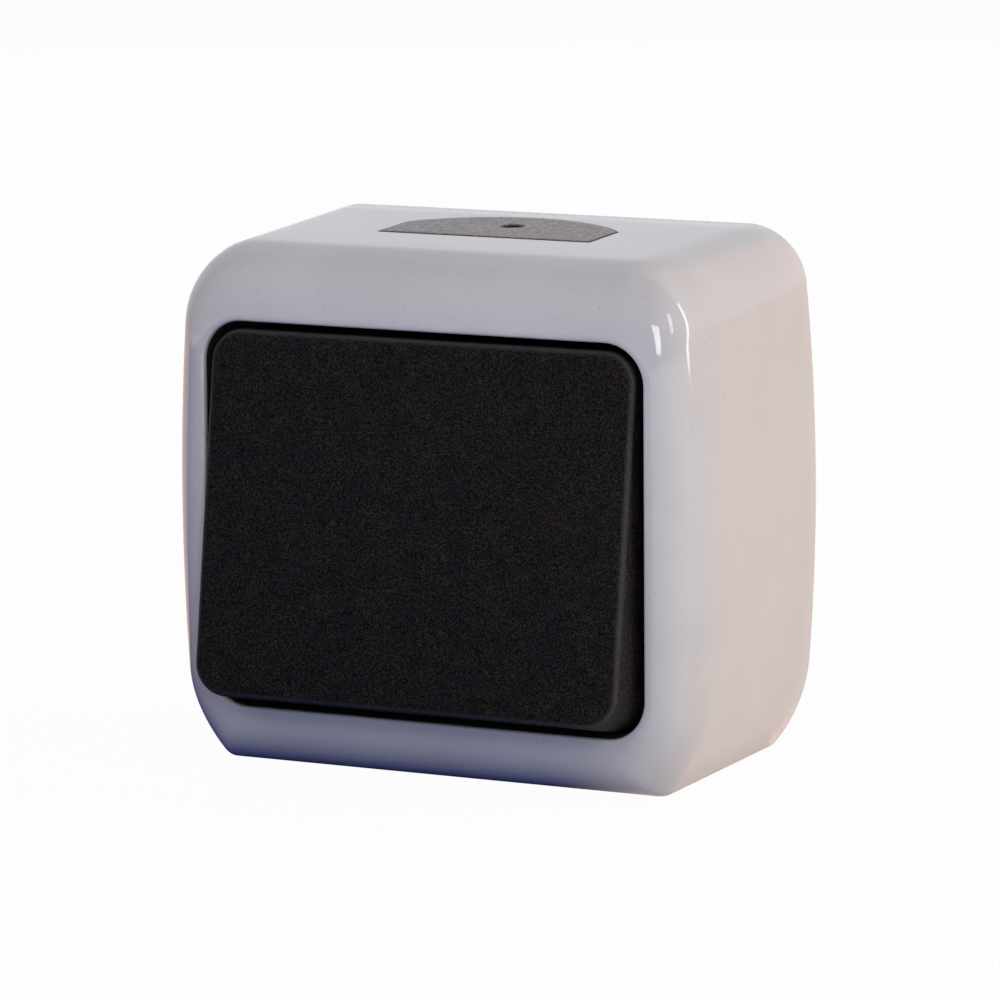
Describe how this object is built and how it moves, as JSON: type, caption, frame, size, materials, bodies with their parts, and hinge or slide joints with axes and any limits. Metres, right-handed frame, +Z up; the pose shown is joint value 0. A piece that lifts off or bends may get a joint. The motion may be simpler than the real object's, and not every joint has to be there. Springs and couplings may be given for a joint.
{
  "type": "surface mounted light switch",
  "caption": "Surface mounted rocker light switch with a glossy grey housing, a dark tilting rocker, a change-over contact mechanism and a soft cable entry on top.",
  "frame": {"origin": "middle of the back face that lies on the wall, half way up and across the housing", "axes": "+X to the viewer's right, +Y into the wall, +Z up; the rocker faces -Y"},
  "size_m": [0.0704, 0.0441, 0.0649],
  "materials": {
    "glossy_housing": "moulded, high gloss light grey ABS",
    "soft_membrane": "soft matte grey elastomer",
    "matte_base": "moulded, matte grey",
    "dark_rocker": "moulded, fine matte anthracite",
    "white_mechanism": "moulded, satin white",
    "thermoset_socket": "pressed thermoset, cream",
    "brass_strip": "stamped brass",
    "copper_bridge": "stamped copper alloy",
    "silver_contact": "silver alloy",
    "zinc_plated_steel": "zinc plated steel",
    "spring_steel": "drawn spring wire"
  },
  "bodies": {
    "housing": {"cover": "glossy_housing", "cable_entry_membrane": "soft_membrane", "base_plate": "matte_base", "cover_screw_left": "zinc_plated_steel", "cover_screw_right": "zinc_plated_steel", "mechanism_screw_top": "zinc_plated_steel", "mechanism_screw_bottom": "zinc_plated_steel", "mechanism_socket": "thermoset_socket", "bearing_plate": "white_mechanism", "common_strip": "brass_strip", "throw_1_strip": "brass_strip", "throw_2_strip": "brass_strip", "fixed_contact_1": "silver_contact", "fixed_contact_2": "silver_contact", "common_clamp": "zinc_plated_steel", "throw_1_clamp": "zinc_plated_steel", "throw_2_clamp": "zinc_plated_steel", "common_clamp_screw": "zinc_plated_steel", "throw_1_clamp_screw": "zinc_plated_steel", "throw_2_clamp_screw": "zinc_plated_steel"},
    "rocker_unit": {"rocker": "dark_rocker", "rocker_carrier": "white_mechanism", "plunger_spring": "spring_steel"},
    "plunger_pin": {"plunger": "white_mechanism"},
    "bridge_unit": {"contact_bridge": "copper_bridge", "moving_contact_1": "silver_contact", "moving_contact_2": "silver_contact"}
  },
  "joints": [
    {"name": "rocker_tilt", "type": "hinge", "parent": "housing", "child": "rocker_unit", "pos_m": [0, -0.0358, -0.0005], "axis": [1, 0, 0], "range_deg": [0, 16.8]},
    {"name": "bridge_rock", "type": "hinge", "parent": "housing", "child": "bridge_unit", "pos_m": [0, -0.0208, -0.0005], "axis": [1, 0, 0], "range_deg": [-21, 0]},
    {"name": "plunger_slide", "type": "slide", "parent": "rocker_unit", "child": "plunger_pin", "axis": [0, -0.9893, 0.1461], "range_m": [0, 0.0008], "stiffness_N_per_m": 60, "springref_m": -0.001, "deforming": ["plunger_spring"]}
  ],
  "couplings": [
    {"joint": "bridge_rock", "follows": "rocker_tilt", "ratio": -1.25}
  ]
}
